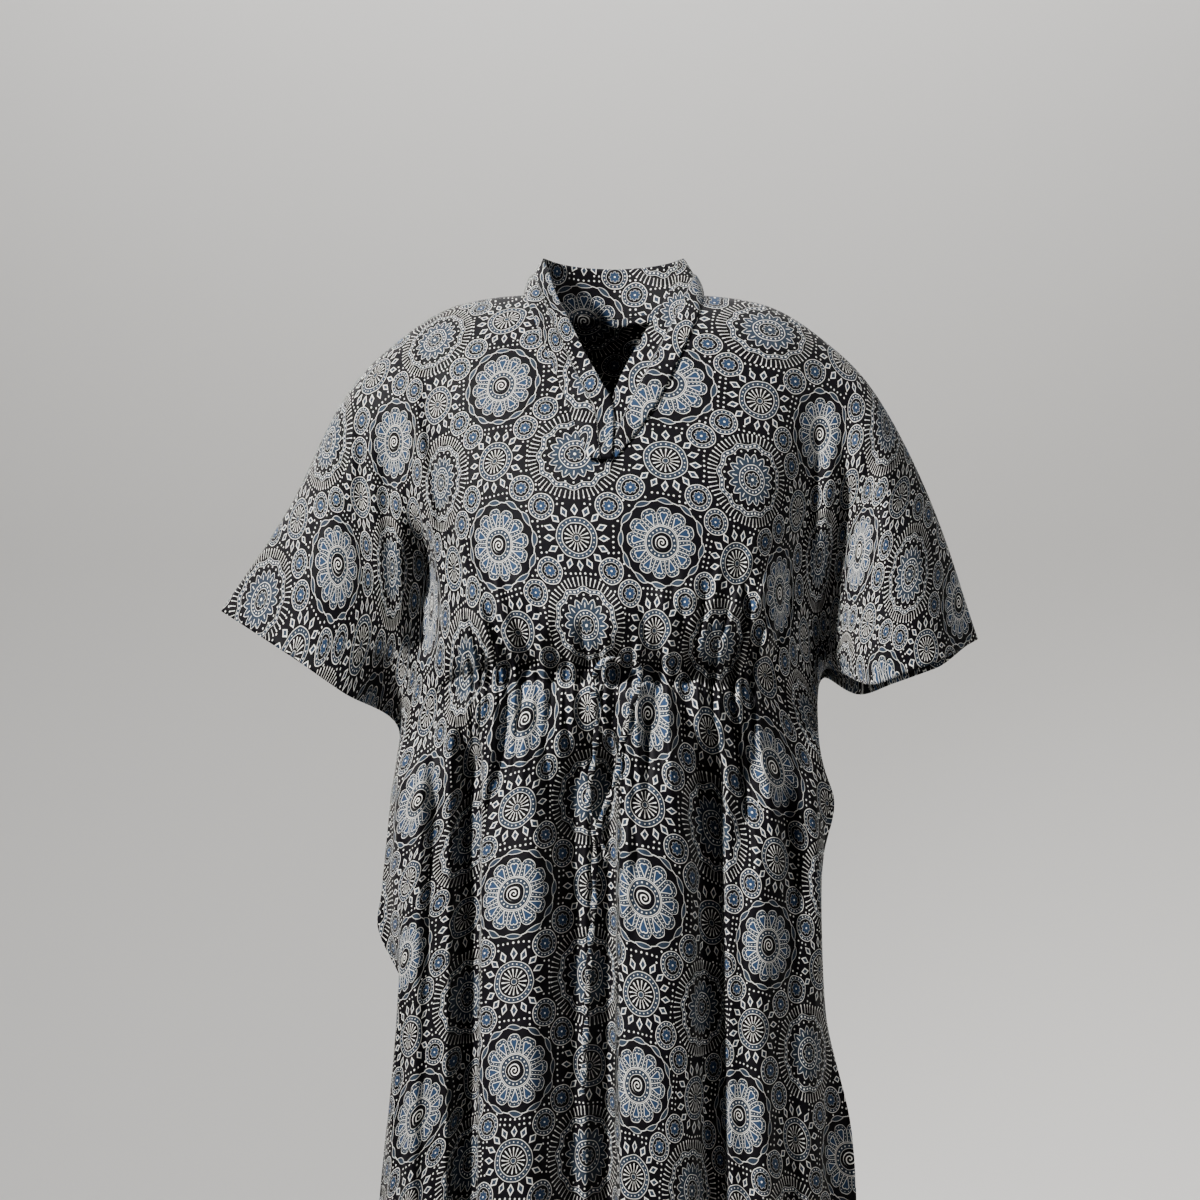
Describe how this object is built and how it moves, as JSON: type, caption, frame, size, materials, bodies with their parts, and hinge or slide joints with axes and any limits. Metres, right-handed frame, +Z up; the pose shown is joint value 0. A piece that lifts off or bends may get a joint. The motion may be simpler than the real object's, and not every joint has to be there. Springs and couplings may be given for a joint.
{
  "type": "kaftan",
  "caption": "Worn drawstring kaftan in block-printed cotton: V neck with stand collar, grown-on short sleeves, gathered waist, long straight skirt with side slits.",
  "frame": {"origin": "middle of the shoulder line between the two neck points, where the wearer's shoulders hold the garment", "axes": "+Z up, -Y the front, +X to the viewer's right"},
  "size_m": [0.7321, 0.3034, 1.3803],
  "materials": {
    "printed_cotton": "fine plain-weave cotton, near-black ground block-printed in cream and grey-blue, soft low sheen"
  },
  "bodies": {
    "root": {"front": "printed_cotton", "back": "printed_cotton", "neckband_left": "printed_cotton", "neckband_right": "printed_cotton", "stand_collar": "printed_cotton", "drawstring_long_end": "printed_cotton", "drawstring_short_end": "printed_cotton"}
  },
  "joints": []
}
